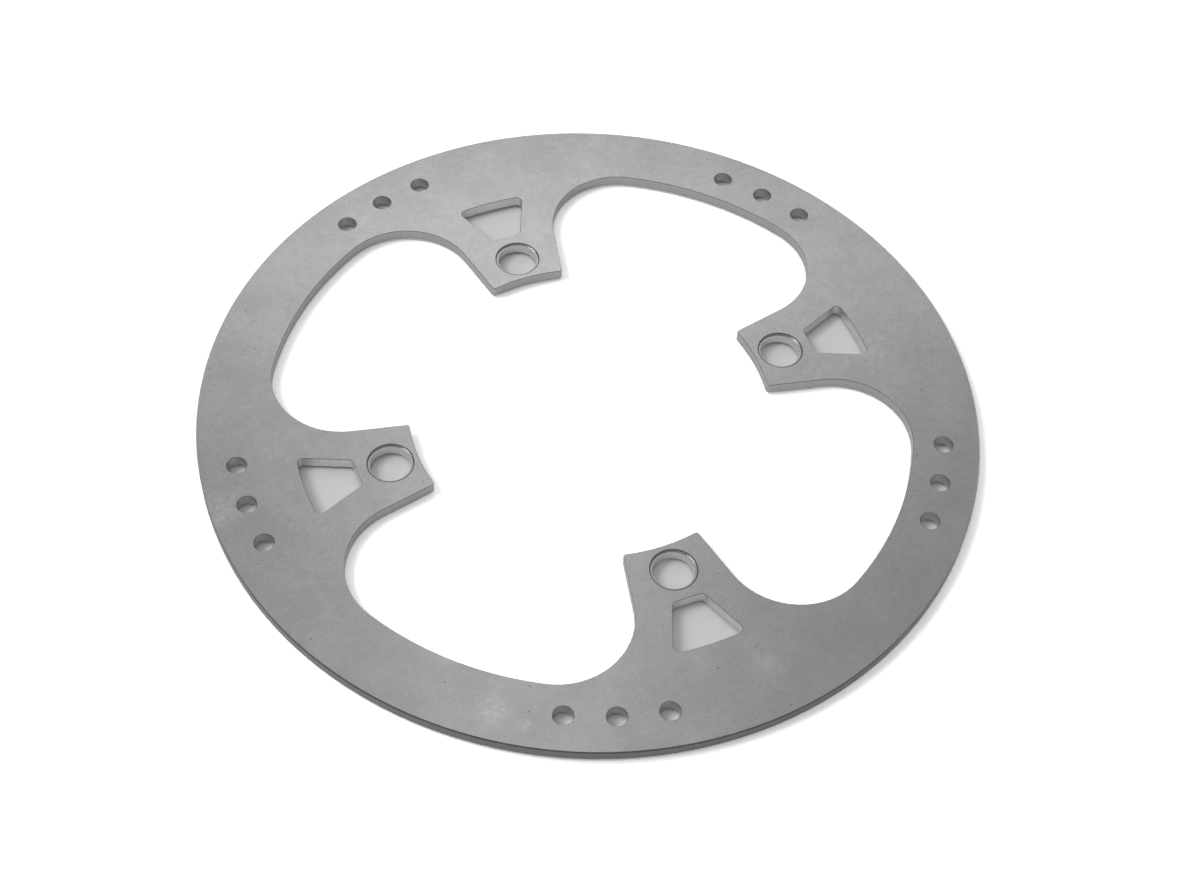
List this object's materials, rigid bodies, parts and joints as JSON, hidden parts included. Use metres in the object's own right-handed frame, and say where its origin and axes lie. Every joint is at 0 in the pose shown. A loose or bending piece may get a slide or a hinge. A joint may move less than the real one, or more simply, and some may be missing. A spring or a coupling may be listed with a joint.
{
  "type": "chainring guard",
  "caption": "Flat aluminium ring with flared inward tabs, counterbored bolt seats and lightening holes; bolts to a crank spider to shield the chainring and keep the chain on.",
  "frame": {"origin": "centre of the ring, on the back face that seats against the spider", "axes": "+Z along the ring's axis, out of the face with the counterbores; +X through the middle of one tab"},
  "size_m": [0.193, 0.193, 0.003],
  "materials": {
    "satin_aluminium": "satin"
  },
  "bodies": {
    "root": {"guard_plate": "satin_aluminium"}
  },
  "joints": []
}
